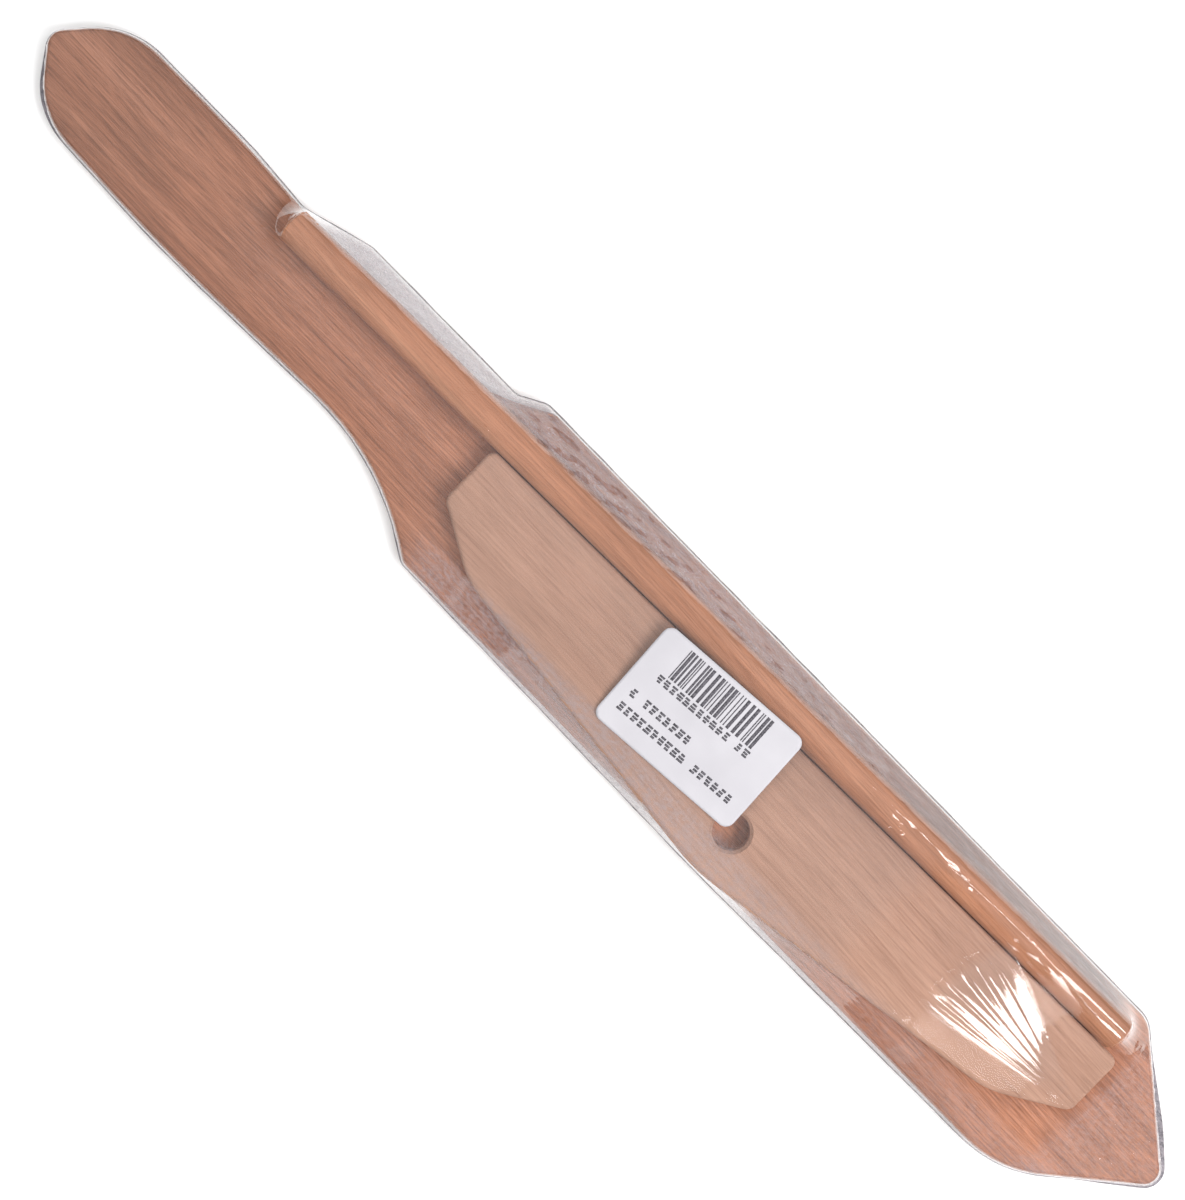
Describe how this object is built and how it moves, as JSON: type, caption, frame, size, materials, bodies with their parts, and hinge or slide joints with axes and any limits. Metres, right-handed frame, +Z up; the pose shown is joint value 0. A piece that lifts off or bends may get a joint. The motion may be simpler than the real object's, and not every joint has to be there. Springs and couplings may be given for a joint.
{
  "type": "wooden crepe spatula and spreader set",
  "caption": "Film-wrapped wooden crepe set: a long paddle spatula with an arched spreader blade and its round handle lying on it, under a clear top sheet with a price label.",
  "frame": {"origin": "centre of the outline of the wrapped set, on the surface that it rests on", "axes": "+X along the spatula from the grip to the tip, +Y to the side where the round handle lies, +Z up out of the wood's face"},
  "size_m": [0.3602, 0.0512, 0.0145],
  "materials": {
    "spatula_wood": "bare sanded hardwood, brown, fine straight grain",
    "blade_wood": "bare hardwood sanded smooth, pale pinkish tan",
    "handle_wood": "bare round dowel, warm orange tan",
    "clear_film": "clear glossy shrink film with fine creases",
    "label_paper": null
  },
  "bodies": {
    "spatula_in_backing": {"spatula": "spatula_wood", "film_bottom": "clear_film"},
    "top_sheet": {"film_top": "clear_film", "price_label": "label_paper"},
    "handle": {"spreader_handle": "handle_wood"},
    "blade": {"spreader_blade": "blade_wood"}
  },
  "joints": [
    {"name": "film_lift", "type": "slide", "parent": "spatula_in_backing", "child": "top_sheet", "axis": [0, 0, 1], "range_m": [0, 0.12]},
    {"name": "handle_lift", "type": "slide", "parent": "spatula_in_backing", "child": "handle", "axis": [0, 0, 1], "range_m": [0, 0.072]},
    {"name": "blade_lift", "type": "slide", "parent": "spatula_in_backing", "child": "blade", "axis": [0, 0, 1], "range_m": [0, 0.036]}
  ],
  "couplings": [
    {"joint": "handle_lift", "follows": "film_lift", "ratio": 0.6},
    {"joint": "blade_lift", "follows": "film_lift", "ratio": 0.3}
  ]
}
